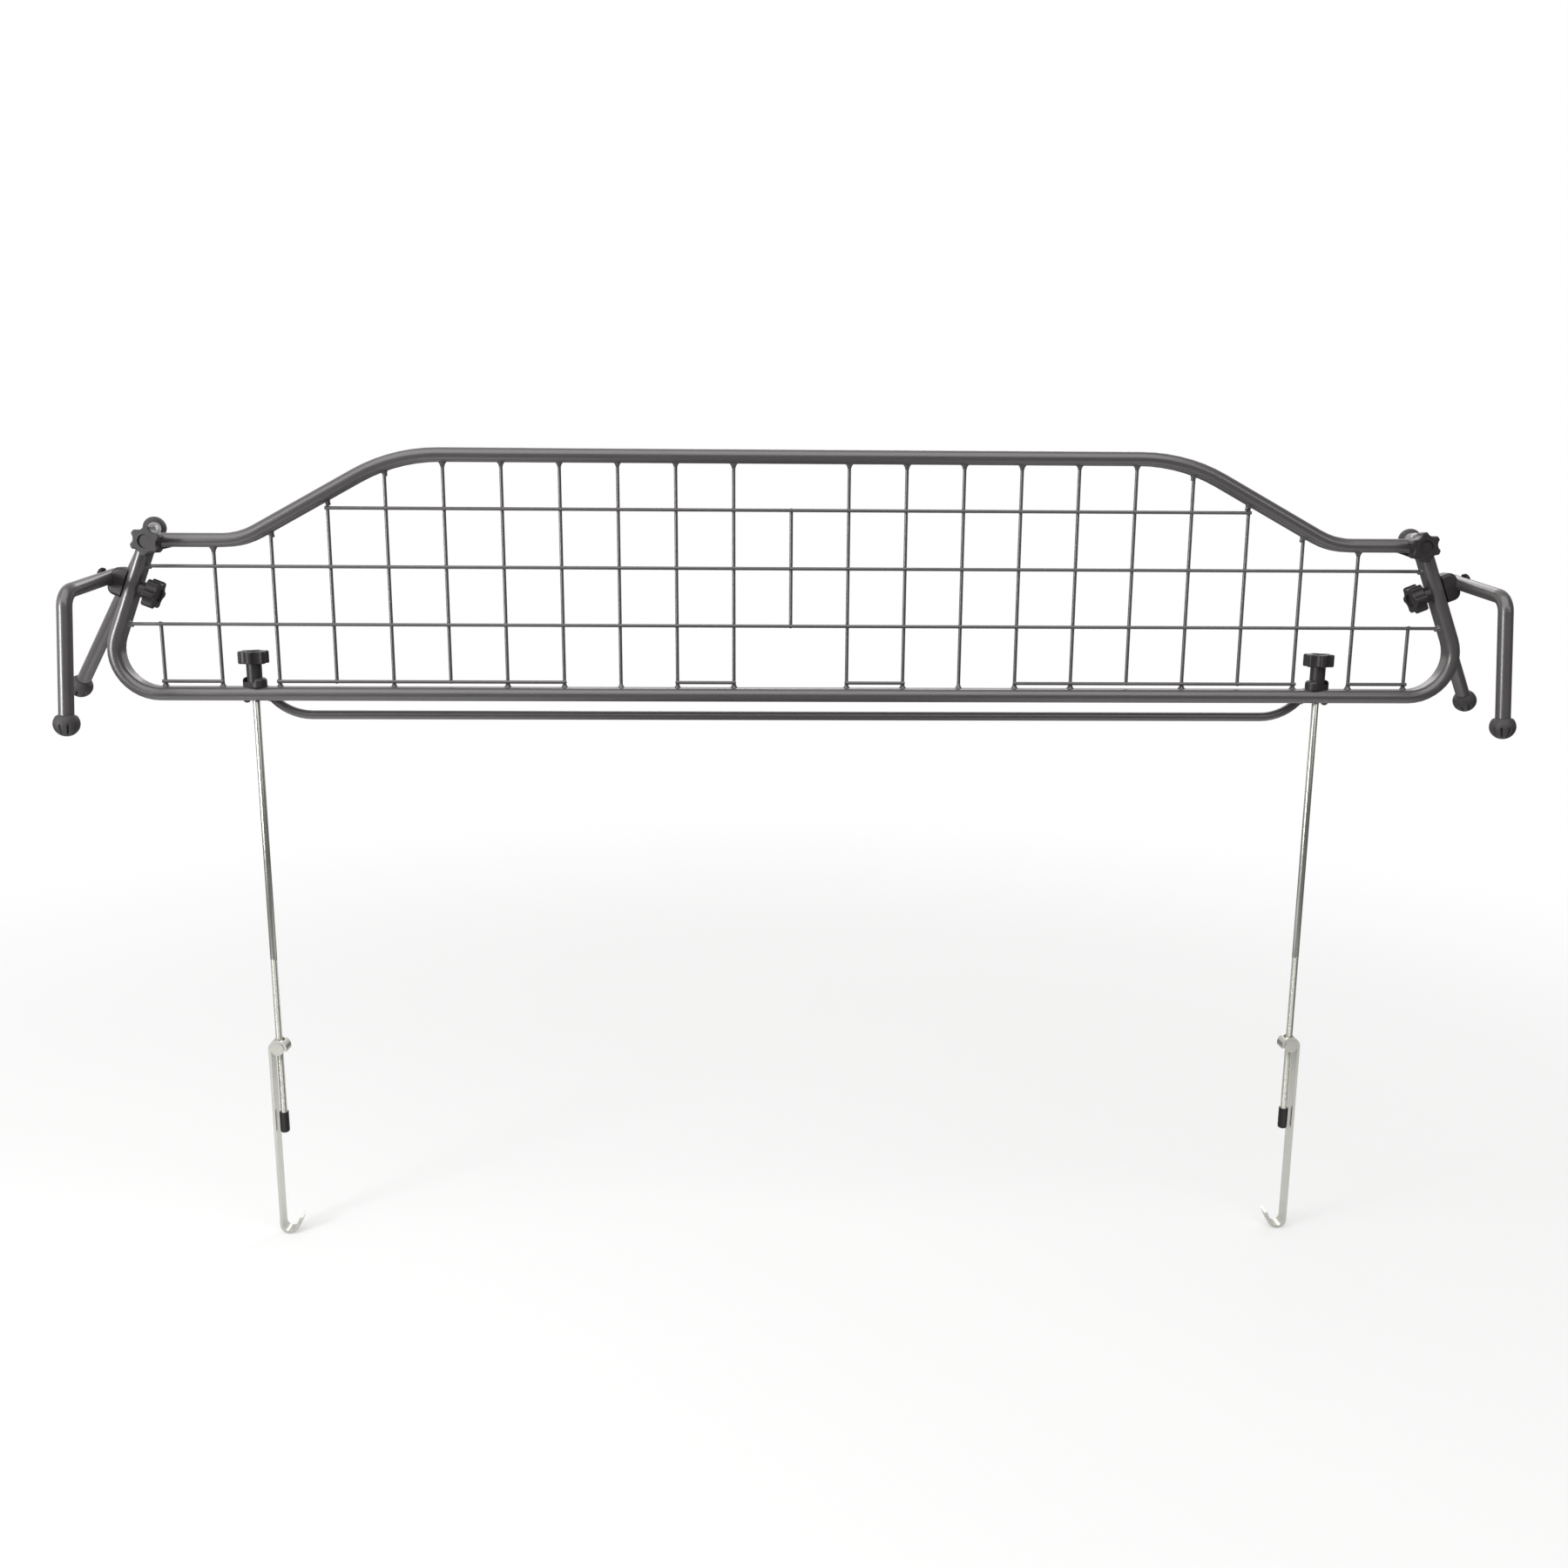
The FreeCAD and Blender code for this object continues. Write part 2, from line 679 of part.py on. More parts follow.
side_block = primitive(
    "Box", "side_saddle_block",
    Placement(side_bolt_centre + rail_out * half_width
              - rail_down * (size["side_saddle_length"] / 2)
              - REAR * (size["side_saddle_width"] / 2),
              Rotation(rail_down, REAR, rail_down.cross(REAR), "XYZ")),
    Length="Sizes.side_saddle_length", Width="Sizes.side_saddle_width",
    Height="Sizes.side_saddle_web + Sizes.side_saddle_grip")
saddle_top = (side_bolt_centre + rail_out * (half_width + size["side_saddle_web"]
                                             + size["side_saddle_grip"])).dot(rail_out)


def runs_along(edge, direction):
    return abs(edge.tangentAt(edge.FirstParameter).dot(direction)) > size["tangent_match"]


side_crown = rounded(
    "side_saddle_crown", side_block, size["side_saddle_crown"],
    lambda edge: runs_along(edge, REAR)
    and abs(edge.CenterOfMass.dot(rail_out) - saddle_top) < size["face_gap"])
side_rounded = rounded(
    "side_saddle_rounded", side_crown, size["side_saddle_round"],
    lambda edge: runs_along(edge, rail_out))
both_sides(cut("side_saddle", side_rounded, front_outer, pivot_hole), "side_saddle")

# Rod clamps: knob standing on a saddle on the bottom rail
valley_floor = half_width + size["rod_saddle_web"]
rod_knob = knob("rod_knob", along(rod_centre + UP * valley_floor, UP),
                "rod_stem_diameter", "rod_stem_height", "rod_diameter", "rod_bore_depth")
both_sides(rod_knob, "rod_knob")

saddle_turn = Rotation(UP, size["rod_saddle_turn"])


def turned_box(name, height, **formulas):
    """Box centred on the rod, turned with the rod saddle."""
    half = Vector(size["rod_saddle_length"] / 2, size["rod_saddle_width"] / 2, 0)
    start = rod_centre + UP * height - saddle_turn.multVec(half)
    return primitive("Box", name, Placement(start, saddle_turn), **formulas)


rod_block = turned_box(
    "rod_saddle_block", half_width, Length="Sizes.rod_saddle_length",
    Width="Sizes.rod_saddle_width", Height="Sizes.rod_saddle_height")
rod_ends = rounded(
    "rod_saddle_ends", rod_block, size["rod_saddle_end_round"],
    lambda edge: edge.BoundBox.ZLength > size["rod_saddle_height"] / 2)
rod_ears = rounded(
    "rod_saddle_ears", rod_ends, size["rod_saddle_round"],
    lambda edge: edge.BoundBox.ZLength < size["face_gap"]
    and edge.BoundBox.ZMin > half_width + size["rod_saddle_web"])
valley = primitive(
    "Box", "rod_saddle_valley",
    Placement(rod_centre + UP * valley_floor - saddle_turn.multVec(
        Vector(size["rod_saddle_valley"] / 2, size["rod_saddle_width"], 0)), saddle_turn),
    Length="Sizes.rod_saddle_valley", Width="2 * Sizes.rod_saddle_width",
    Height="Sizes.rod_saddle_height")
saddle_hole = cylinder("rod_saddle_hole", rod_centre, UP, ROD_HOLE, "Sizes.tube_depth")
both_sides(cut("rod_saddle", rod_ears, valley, saddle_hole), "rod_saddle")

# Hook rods with their end caps
rod_stock = cylinder("rod_stock", rod_centre - UP * size["rod_end_drop"], UP,
                     "Sizes.rod_diameter / 2", "Sizes.rod_end_drop + Sizes.rod_top")
both_sides(rod_stock, "hook_rod")
cap_bottom = rod_centre - UP * (size["rod_end_drop"] + size["cap_end_wall"])
cap_stock = cylinder("cap_stock", cap_bottom, UP, "Sizes.cap_diameter / 2", "Sizes.cap_length")
cap_round = rounded("cap_round", cap_stock, size["cap_round"],
                    lambda edge: edge.isClosed()
                    and abs(edge.BoundBox.ZMax - cap_bottom.z) < size["face_gap"])
both_sides(cut("rod_end_cap", cap_round, rod_stock), "rod_end_cap")

# Barrel nuts
nut_centre = rod_centre - UP * size["nut_drop"]
nut_stock = cylinder("nut_stock", nut_centre - REAR * (size["nut_length"] / 2), REAR,
                     "Sizes.nut_diameter / 2", "Sizes.nut_length")
nut_bore = cylinder("nut_bore", nut_centre - UP * size["nut_diameter"], UP,
                    "Sizes.rod_diameter / 2 + Sizes.running_clearance", "2 * Sizes.nut_diameter")
both_sides(cut("barrel_nut", nut_stock, nut_bore), "barrel_nut")

# Strip hooks
strip_radius = size["hook_inner_radius"] + size["hook_thickness"] / 2
hook_foot = nut_centre - UP * size["hook_drop"]
hook_turn = math.radians(size["hook_turn"])
tip_start = hook_foot + Vector(
    strip_radius * math.cos(hook_turn), 0, -strip_radius * math.sin(hook_turn))
tip_heading = Vector(-math.sin(hook_turn), 0, -math.cos(hook_turn))
curl_mid = nut_centre + UP * strip_radius
curl_in = nut_centre - OUTBOARD * strip_radius
curl_out = nut_centre + OUTBOARD * strip_radius
tail_start = curl_in - UP * size["hook_curl_tail"]
turn_mid = hook_foot + Vector(
    strip_radius * math.cos(hook_turn / 2), 0, -strip_radius * math.sin(hook_turn / 2))
strip_path = Part.Wire([
    Part.LineSegment(tail_start, curl_in).toShape(),
    Part.Arc(curl_in, curl_mid, curl_out).toShape(),
    Part.LineSegment(curl_out, hook_foot + OUTBOARD * strip_radius).toShape(),
    Part.Arc(hook_foot + OUTBOARD * strip_radius, turn_mid, tip_start).toShape(),
    Part.LineSegment(tip_start, tip_start + tip_heading * size["hook_tip"]).toShape(),
])
half_strip = Vector(size["hook_thickness"] / 2, size["hook_width"] / 2, 0)
strip_corners = [
    tail_start + Vector(x * half_strip.x, y * half_strip.y, 0)
    for x, y in ((-1, -1), (1, -1), (1, 1), (-1, 1), (-1, -1))
]
strip = sweep("strip", strip_path, Part.makePolygon(strip_corners))
slot_start = math.radians(-size["slot_inboard_angle"])
slot_x = Vector(math.sin(slot_start), 0, math.cos(slot_start))
slot = primitive(
    "Cylinder", "strip_slot",
    Placement(nut_centre - REAR * (size["rod_diameter"] / 2 + size["slot_clearance"]),
              Rotation(slot_x, REAR.cross(slot_x), REAR, "ZXY")),
    Radius="Sizes.hook_inner_radius + Sizes.hook_thickness + Sizes.cut_overrun",
    Height="Sizes.rod_diameter + 2 * Sizes.slot_clearance",
    Angle="Sizes.slot_inboard_angle + Sizes.slot_outboard_angle")
both_sides(cut("hook_strip", strip, slot), "hook_strip")

# Check every object and write one file for each named piece
doc.recompute()
for item in doc.Objects:
    if "Invalid" in item.State or "Error" in item.State:
        raise RuntimeError(f"{item.Label} did not build: {item.State}")
for item in nodes:
    shape = item.Shape
    if shape.isNull() or not shape.isValid() or not shape.Solids:
        raise RuntimeError(f"{item.Label} has no valid solid")
    shape.exportStep(f"parts/{item.Label}.step")
    box = shape.BoundBox
    print(item.Label, len(shape.Solids), "solid(s)", round(shape.Volume), "mm3",
          "across", round(box.XLength), round(box.YLength), round(box.ZLength))
print(len(nodes), "nodes")
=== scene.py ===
# %% [markdown]
# # Car dog guard
# A welded wire grille in a bent loop of flat-oval steel tube. It stands on the upper edge of a rear
# seat back and is drawn down by two threaded hook rods. Bent arms with rubber balls press against
# the sides of the car. This scene adds the finishes and the small details: welds, threads, slotted feet.

# %% Setup
import json
import math

import bpy
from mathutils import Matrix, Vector
from mathutils.bvhtree import BVHTree


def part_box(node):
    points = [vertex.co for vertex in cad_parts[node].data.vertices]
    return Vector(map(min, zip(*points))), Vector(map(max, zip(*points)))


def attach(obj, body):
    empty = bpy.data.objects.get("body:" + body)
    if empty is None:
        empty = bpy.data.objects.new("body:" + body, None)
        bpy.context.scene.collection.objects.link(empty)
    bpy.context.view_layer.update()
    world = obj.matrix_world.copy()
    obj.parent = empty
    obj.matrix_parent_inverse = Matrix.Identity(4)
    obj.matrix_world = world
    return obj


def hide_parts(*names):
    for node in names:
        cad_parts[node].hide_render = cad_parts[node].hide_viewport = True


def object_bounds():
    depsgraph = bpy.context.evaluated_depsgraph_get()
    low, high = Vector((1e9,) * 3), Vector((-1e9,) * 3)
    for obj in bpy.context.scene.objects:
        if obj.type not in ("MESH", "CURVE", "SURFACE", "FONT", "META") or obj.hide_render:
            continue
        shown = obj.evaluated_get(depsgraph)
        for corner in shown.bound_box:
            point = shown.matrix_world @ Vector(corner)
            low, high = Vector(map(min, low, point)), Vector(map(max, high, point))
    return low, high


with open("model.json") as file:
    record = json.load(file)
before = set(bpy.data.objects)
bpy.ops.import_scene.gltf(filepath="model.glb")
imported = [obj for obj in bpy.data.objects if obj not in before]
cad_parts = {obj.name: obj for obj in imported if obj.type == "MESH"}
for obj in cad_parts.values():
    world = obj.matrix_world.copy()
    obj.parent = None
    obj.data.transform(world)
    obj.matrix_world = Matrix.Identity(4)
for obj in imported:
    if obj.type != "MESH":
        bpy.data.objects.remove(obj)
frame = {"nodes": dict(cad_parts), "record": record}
cad_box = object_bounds()
nodes = frame["nodes"]
MM = 0.001
WHITE = (1, 1, 1, 1)
SIDES = (("right", 1), ("left", -1))
print("CAD box", [[round(value, 4) for value in corner] for corner in cad_box])


# %% [markdown]
# ## Helpers
# Colours are read off as ordinary screen values and turned into linear light once. One function adds
# a node with its settings and links, for shaders and geometry alike, so each finish stays a short list.

# %% Helpers
def linear(code):
    """Screen colour as six hex digits to linear light."""
    def channel(value):
        return value / 12.92 if value <= 0.04045 else ((value + 0.055) / 1.055) ** 2.4
    return tuple(channel(int(code[at:at + 2], 16) / 255) for at in (0, 2, 4)) + (1.0,)


def add(tree, kind, inputs=None, **settings):
    """Add a node: an input is linked if it is a socket and set if it is a value."""
    node = tree.nodes.new(kind)
    for name, value in settings.items():
        setattr(node, name, value)
    for key, value in (inputs or {}).items():
        if isinstance(value, bpy.types.NodeSocket):
            tree.links.new(value, node.inputs[key])
        else:
            node.inputs[key].default_value = value
    return node


def new_object(name, vertices, faces, smooth=True):
    """Mesh object from points in metres, put in the scene."""
    mesh = bpy.data.meshes.new(name)
    mesh.from_pydata(vertices, [], faces)
    mesh.validate()
    mesh.update()
    if smooth:
        mesh.shade_smooth()
    item = bpy.data.objects.new(name, mesh)
    bpy.context.scene.collection.objects.link(item)
    return item


def ring_faces(rings, around):
    """Quads between stacked rings of the same number of points."""
    faces = []
    for row in range(rings - 1):
        low = row * around
        for column in range(around):
            following = (column + 1) % around
            faces.append((low + column, low + following,
                          low + around + following, low + around + column))
    return faces


def capped(rings, around):
    """Quads between the rings, with a flat face over the first and the last."""
    top = (rings - 1) * around
    return ring_faces(rings, around) + [tuple(range(around))[::-1], tuple(range(top, top + around))]


def turned(name, profile, around):
    """Closed solid turned about Z from (radius, height) points, bottom first, in mm."""
    vertices = []
    for radius, height in profile:
        for step in range(around):
            angle = 2 * math.pi * step / around
            vertices.append((radius * math.cos(angle) * MM, radius * math.sin(angle) * MM, height * MM))
    return new_object(name, vertices, capped(len(profile), around))


# %% [markdown]
# ## Finishes
# Every finish is a physical coat over a real material. The steel is powder coated: a thick charcoal
# skin with a fine orange-peel ripple about a millimetre across. Nylon and rubber are moulded, so they
# are matt with a fine grain. The hook rods are bright zinc, drawn lengthwise before plating.

# %% Finish maker
BLOTCH = 35
NOISE_LOW = 0.3
NOISE_HIGH = 0.7


def finish(name, colour, roughness, grain, depth, metallic=0.0, ior=1.5, spread=0.06, tint=0.12,
           stretch=(1, 1, 1), coat=0.0):
    """Procedural finish: grain in mm across, depth in mm, spread of roughness, tint of colour."""
    material = bpy.data.materials.new(name)
    material.use_nodes = True
    tree = material.node_tree
    tree.nodes.clear()
    place = add(tree, "ShaderNodeTexCoord").outputs["Object"]
    stretched = add(tree, "ShaderNodeMapping", {"Vector": place, "Scale": stretch}).outputs["Vector"]
    fine = add(tree, "ShaderNodeTexNoise",
               {"Vector": stretched, "Scale": 1 / (grain * MM), "Detail": 3.0}).outputs["Fac"]
    broad = add(tree, "ShaderNodeTexNoise",
                {"Vector": place, "Scale": 1 / (BLOTCH * MM), "Detail": 4.0}).outputs["Fac"]
    rough = add(tree, "ShaderNodeMapRange",
                {"Value": broad, "From Min": NOISE_LOW, "From Max": NOISE_HIGH,
                 "To Min": roughness - spread, "To Max": roughness + spread}).outputs["Result"]
    base = linear(colour)
    lighter = tuple(min(1.0, value * (1 + tint)) for value in base[:3]) + (1.0,)
    shade = add(tree, "ShaderNodeMix", {0: broad, 6: base, 7: lighter}, data_type="RGBA").outputs[2]
    relief = add(tree, "ShaderNodeBump",
                 {"Height": fine, "Strength": 1.0, "Distance": depth * MM}).outputs["Normal"]
    inputs = {"Base Color": shade, "Roughness": rough, "Normal": relief,
              "Metallic": metallic, "Coat Weight": coat, "Coat Roughness": 0.2}
    if not metallic:
        inputs["IOR"] = ior
    surface = add(tree, "ShaderNodeBsdfPrincipled", inputs).outputs["BSDF"]
    add(tree, "ShaderNodeOutputMaterial", {"Surface": surface})
    return material


# %% Finishes
FINISHES = {
    "powder_coat": finish("charcoal_powder_coat", "514d4e", 0.31, 1.1, 0.001, ior=1.85, spread=0.03,
                          tint=0.08, coat=0.3),
    "black_plastic": finish("black_moulded_nylon", "302d2e", 0.38, 0.5, 0.004, ior=1.53, spread=0.05),
    "black_rubber": finish("black_soft_rubber", "444142", 0.58, 0.6, 0.005, ior=1.52),
    "zinc": finish("bright_zinc_plate", "cfcfc8", 0.27, 0.5, 0.0006, metallic=0.95, spread=0.04,
                   tint=0.08, stretch=(1, 1, 0.05)),
    "black_vinyl": finish("black_dipped_vinyl", "1a1617", 0.34, 0.8, 0.003, ior=1.53),
    "blackened_bolt": finish("black_oxide_steel", "343435", 0.38, 0.5, 0.003, metallic=1.0),
}
print(len(FINISHES), "finishes")

# %% [markdown]
# ## Finishes on the pieces
# The record names a material slot for each piece, and each slot gets its finish.

# %% Give each piece its finish
slot_of = {entry["node"]: entry["material_slot"] for entry in frame["record"]["subparts"]}
for name, item in nodes.items():
    if not item.material_slots:
        item.data.materials.append(None)
    for slot in item.material_slots:
        slot.material = FINISHES[slot_of[name]]
print("dressed", len(nodes), "pieces")


# %% [markdown]
# ## Welds of the grille
# The wires are resistance welded where they cross, which leaves a small nugget, and their ends are
# butt welded to the tube, which leaves a low flared bead under the powder coat. The ends are found
# by looking along each wire for the tube. Both kinds are strewn by one geometry node tree.

# %% Weld tree
def weld_tree():
    """Node tree that puts a copy of a bead on every point, turned along its heading."""
    tree = bpy.data.node_groups.new("weld_beads", "GeometryNodeTree")
    face = tree.interface
    face.new_socket("Geometry", in_out="INPUT", socket_type="NodeSocketGeometry")
    face.new_socket("Bead", in_out="INPUT", socket_type="NodeSocketObject")
    face.new_socket("Finish", in_out="INPUT", socket_type="NodeSocketMaterial")
    face.new_socket("Smallest", in_out="INPUT", socket_type="NodeSocketFloat")
    face.new_socket("Largest", in_out="INPUT", socket_type="NodeSocketFloat")
    face.new_socket("Seed", in_out="INPUT", socket_type="NodeSocketInt")
    face.new_socket("Geometry", in_out="OUTPUT", socket_type="NodeSocketGeometry")
    given = add(tree, "NodeGroupInput").outputs
    heading = add(tree, "GeometryNodeInputNamedAttribute", {"Name": "heading"},
                  data_type="FLOAT_VECTOR").outputs["Attribute"]
    spin = add(tree, "FunctionNodeRandomValue",
               {0: (0, 0, 0), 1: (0, 0, 2 * math.pi), "Seed": given["Seed"]},
               data_type="FLOAT_VECTOR").outputs[0]
    start = add(tree, "FunctionNodeEulerToRotation", {"Euler": spin}).outputs["Rotation"]
    facing = add(tree, "FunctionNodeAlignRotationToVector",
                 {"Rotation": start, "Vector": heading}, axis="Z").outputs["Rotation"]
    scale = add(tree, "FunctionNodeRandomValue",
                {2: given["Smallest"], 3: given["Largest"], "Seed": given["Seed"]},
                data_type="FLOAT").outputs[1]
    bead = add(tree, "GeometryNodeObjectInfo", {"Object": given["Bead"]}).outputs["Geometry"]
    strewn = add(tree, "GeometryNodeInstanceOnPoints",
                 {"Points": given["Geometry"], "Instance": bead, "Rotation": facing,
                  "Scale": scale}).outputs["Instances"]
    solid = add(tree, "GeometryNodeRealizeInstances", {"Geometry": strewn}).outputs["Geometry"]
    dressed = add(tree, "GeometryNodeSetMaterial",
                  {"Geometry": solid, "Material": given["Finish"]}).outputs["Geometry"]
    add(tree, "NodeGroupOutput", {"Geometry": dressed})
    return tree


WELDS = weld_tree()


def strew(name, bead, spots, body, seed, smallest=0.92, largest=1.12):
    """Copies of a bead at (place, heading) spots, made into one plain mesh on a body."""
    points = new_object(name + "_points", [place for place, heading in spots], [], smooth=False)
    attribute = points.data.attributes.new("heading", "FLOAT_VECTOR", "POINT")
    for index, (place, heading) in enumerate(spots):
        attribute.data[index].vector = heading
    modifier = points.modifiers.new("welds", "NODES")
    modifier.node_group = WELDS
    values = {"Bead": bead, "Finish": FINISHES["powder_coat"], "Seed": seed,
              "Smallest": smallest, "Largest": largest}
    for item in WELDS.interface.items_tree:
        if item.in_out == "INPUT" and item.name in values:
            modifier[item.identifier] = values[item.name]
    graph = bpy.context.evaluated_depsgraph_get()
    mesh = bpy.data.meshes.new_from_object(points.evaluated_get(graph), depsgraph=graph)
    mesh.name = name
    mesh.shade_smooth()
    result = bpy.data.objects.new(name, mesh)
    bpy.context.scene.collection.objects.link(result)
    bpy.data.objects.remove(points)
    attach(result, body)
    print(name, len(spots), "beads", len(mesh.polygons), "faces")
    return result


# %% Find the wire ends on the tube
PITCH = 50
ROWS = (10.7, 60.7, 110.7, 160.7)
COLUMNS = range(-11, 12)
WIRE_BACK = 1.4
INSIDE_HEIGHT = 30
tube_surface = BVHTree.FromObject(nodes["frame_tube"], bpy.context.evaluated_depsgraph_get())


def look(start, heading):
    """Where a line meets the tube, and the outward direction there."""
    return tube_surface.ray_cast(Vector(start) * MM, Vector(heading))[:2]


wire_ends = []
for column in COLUMNS:
    start = (column * PITCH, WIRE_BACK, INSIDE_HEIGHT)
    if column != 0 and abs(column) not in (6, 8):
        wire_ends.append(look(start, (0, 0, -1)))
    if column != 0 and abs(column) != 11:
        wire_ends.append(look(start, (0, 0, 1)))
for height in ROWS[1:3]:
    for heading in (-1, 1):
        wire_ends.append(look((0, -WIRE_BACK, height), (heading, 0, 0)))
print("wire ends from", [round(value, 4) for value in wire_ends[0][0]])

# %% Butt welds at the wire ends
BUTT_PROFILE = [(3.3, -0.5), (3.2, 0.1), (2.75, 0.7), (2.1, 1.7), (1.7, 3.0), (1.4, 4.2)]
butt_bead = turned("butt_bead", BUTT_PROFILE, 16)
strew("wire_end_welds", butt_bead, wire_ends, "guard", 4)

# %% Nuggets at the crossings
NUGGET_PROFILE = [(0.5, -1.0), (1.5, -0.75), (2.05, 0), (1.5, 0.75), (0.5, 1.0)]
crossings = []
columns_of_row = {
    ROWS[0]: [column for column in COLUMNS if abs(column) not in (0, 3)],
    ROWS[1]: COLUMNS,
    ROWS[2]: range(-10, 11),
    ROWS[3]: range(-8, 9),
}
for height, columns in columns_of_row.items():
    for column in columns:
        crossings.append((Vector((column * PITCH, 0, height)) * MM, Vector((0, 1, 0))))
nugget = turned("nugget", NUGGET_PROFILE, 12)
strew("crossing_welds", nugget, crossings, "guard", 9)

# %% [markdown]
# ## Welds of the lower bar and the arm lugs
# The bar's ends are laid against the back of the rail and welded with two short runs. Each rear arm
# is welded to its steel lug the same way. A run is a row of overlapping nuggets, as a torch leaves it.

# %% Fillet runs
CORNER_BOLT = Vector((546.5, 0, 132.2))
SWING = {"right": -3.6, "left": 2.4}
LUG_SEAM = Vector((10.8, 0, -2.7))
LUG_RUN = Vector((0.507, 0, -0.827)).normalized()
LUG_MIDDLE = 19.5
LUG_EDGE = 1.7
LUG_STEP = 1.5
BAR_SEAM = Vector((464.5, 11.2, -1.8))
BAR_EDGE = 2.7
BAR_STEP = 1.2


def swung(side, sign, point):
    """Point of a rear arm, swung about its corner bolt and put on its side, in metres."""
    angle = math.radians(SWING[side])
    arm = Vector(point) - CORNER_BOLT
    across = arm.x * math.cos(angle) - arm.z * math.sin(angle)
    lift = arm.z * math.cos(angle) + arm.x * math.sin(angle)
    return Vector((sign * (CORNER_BOLT.x + across), arm.y, CORNER_BOLT.z + lift)) * MM


bar_run = Vector((18.8, 0, 24)).normalized()
bar_side = Vector((-bar_run.z, 0, bar_run.x))
run_spots = []
for side, sign in SIDES:
    for edge in (-1, 1):
        for step in range(9):
            spot = BAR_SEAM + bar_run * (step - 4) * BAR_STEP + bar_side * edge * BAR_EDGE
            run_spots.append((Vector((sign * spot.x, spot.y, spot.z)) * MM, Vector((0, 1, 0.2))))
strew("bar_end_welds", nugget, run_spots, "guard", 21, 0.75, 0.95)
for side, sign in SIDES:
    spots = []
    for edge in (-1, 1):
        for step in range(8):
            spot = CORNER_BOLT + LUG_SEAM + LUG_RUN * (step - 3.5) * LUG_STEP
            spot.y = LUG_MIDDLE + edge * LUG_EDGE
            spots.append((swung(side, sign, spot), Vector((0, edge, 0))))
    strew(side + "_lug_welds", nugget, spots, side + "_rear_arm", 30, 0.7, 0.9)
for helper in (butt_bead, nugget):
    bpy.data.objects.remove(helper)

# %% [markdown]
# ## Ball feet
# The feet are moulded rubber balls pushed over the tube ends. Each has a flat top round the tube
# and ten narrow slots over its far half, so that it gives a little against the trim. The slots are
# steps in a turned grid, which keeps the mesh light and the edges crisp.

# %% Slotted ball
BALL = 10.4
SLOT_FLOOR = 7.8
SLOTS = 10
SECTOR = [(0, True), (3.6, True), (4.2, False), (11, False), (18, False), (25, False),
          (31.8, False), (32.4, True)]
FLAT_TOP = [(5.9, 7.2), (6.6, 7.25), (7.2, 7.1), (7.7, 6.8)]
BANDS = [(52, False), (60, False), (70, False), (80, False), (92, False), (93, True),
         (105, True), (117, True), (130, True), (144, True), (145, False), (153, False),
         (162, False), (171, False)]


def slotted_ball(name, centre, towards):
    """Ball foot with its flat top towards the tube."""
    columns = [(math.radians(slot * 360 / SLOTS + angle), cut)
               for slot in range(SLOTS) for angle, cut in SECTOR]
    rows = [[(radius, height)] * len(columns) for radius, height in FLAT_TOP]
    for polar, band_cut in BANDS:
        angle = math.radians(polar)
        rows.append([
            ((SLOT_FLOOR if cut and band_cut else BALL) * math.sin(angle),
             (SLOT_FLOOR if cut and band_cut else BALL) * math.cos(angle))
            for azimuth, cut in columns])
    turn = towards.to_track_quat("Z", "Y")
    vertices = []
    for row in rows:
        for (azimuth, cut), (radius, height) in zip(columns, row):
            point = Vector((radius * math.cos(azimuth), radius * math.sin(azimuth), height)) * MM
            vertices.append(centre + turn @ point)
    around = len(columns)
    faces = [face[::-1] for face in ring_faces(len(rows), around)]
    faces.append(tuple(range(around)))
    last = (len(rows) - 1) * around
    vertices.append(centre + turn @ Vector((0, 0, -BALL * MM)))
    pole = len(vertices) - 1
    faces += [(last + (step + 1) % around, last + step, pole) for step in range(around)]
    return new_object(name, vertices, faces)


def middle(node):
    """Middle of a CAD piece's box."""
    low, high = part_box(node)
    return (Vector(low) + Vector(high)) / 2


# %% Feet on every arm
REAR_ELBOW = (558.3, 17.6, 139.2)
FRONT_ELBOW = Vector((594.0, -74.9, 91.5))
for side, sign in SIDES:
    rear_elbow = swung(side, sign, REAR_ELBOW)
    front_elbow = Vector((sign * FRONT_ELBOW.x, FRONT_ELBOW.y, FRONT_ELBOW.z)) * MM
    for kind, elbow, body in (("rear_arm_upper_foot", rear_elbow, "rear_arm"),
                              ("rear_arm_lower_foot", rear_elbow, "rear_arm"),
                              ("front_arm_foot", front_elbow, "front_arm")):
        node = side + "_" + kind
        centre = middle(node)
        towards = elbow - centre
        foot = slotted_ball(node + "_ball", centre, towards.normalized())
        foot.data.materials.append(FINISHES["black_rubber"])
        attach(foot, side + "_" + body)
        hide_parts(node)
print("feet of", len(foot.data.polygons), "faces")

# %% [markdown]
# ## Hook rods
# M6 rods, threaded from a little above the barrel nut down to the end, with a rolled thread of
# 1 mm pitch. The thread is a real helix, so it catches the light as the rod does in the photo.

# %% Threaded rods
ROD_X = 471.5
ROD_TOP = 23
THREAD_TOP = -244
ROD_END = -409.5
CREST = 2.97
ROOT = 2.52
FLANK = 1.15
RUN_OUT = 2
END_CHAMFER = 0.7
AROUND = 20
ROWS_PER_TURN = 8


def thread_radius(height, angle):
    """Radius of a right-hand thread of 1 mm pitch, faded in at its upper end."""
    phase = (height - angle / (2 * math.pi)) % 1.0
    ridge = min(1.0, abs(2 * phase - 1) * FLANK)
    fade = max(0.0, min(1.0, (THREAD_TOP - height) / RUN_OUT))
    return CREST - (CREST - ROOT) * (1 - ridge) * fade


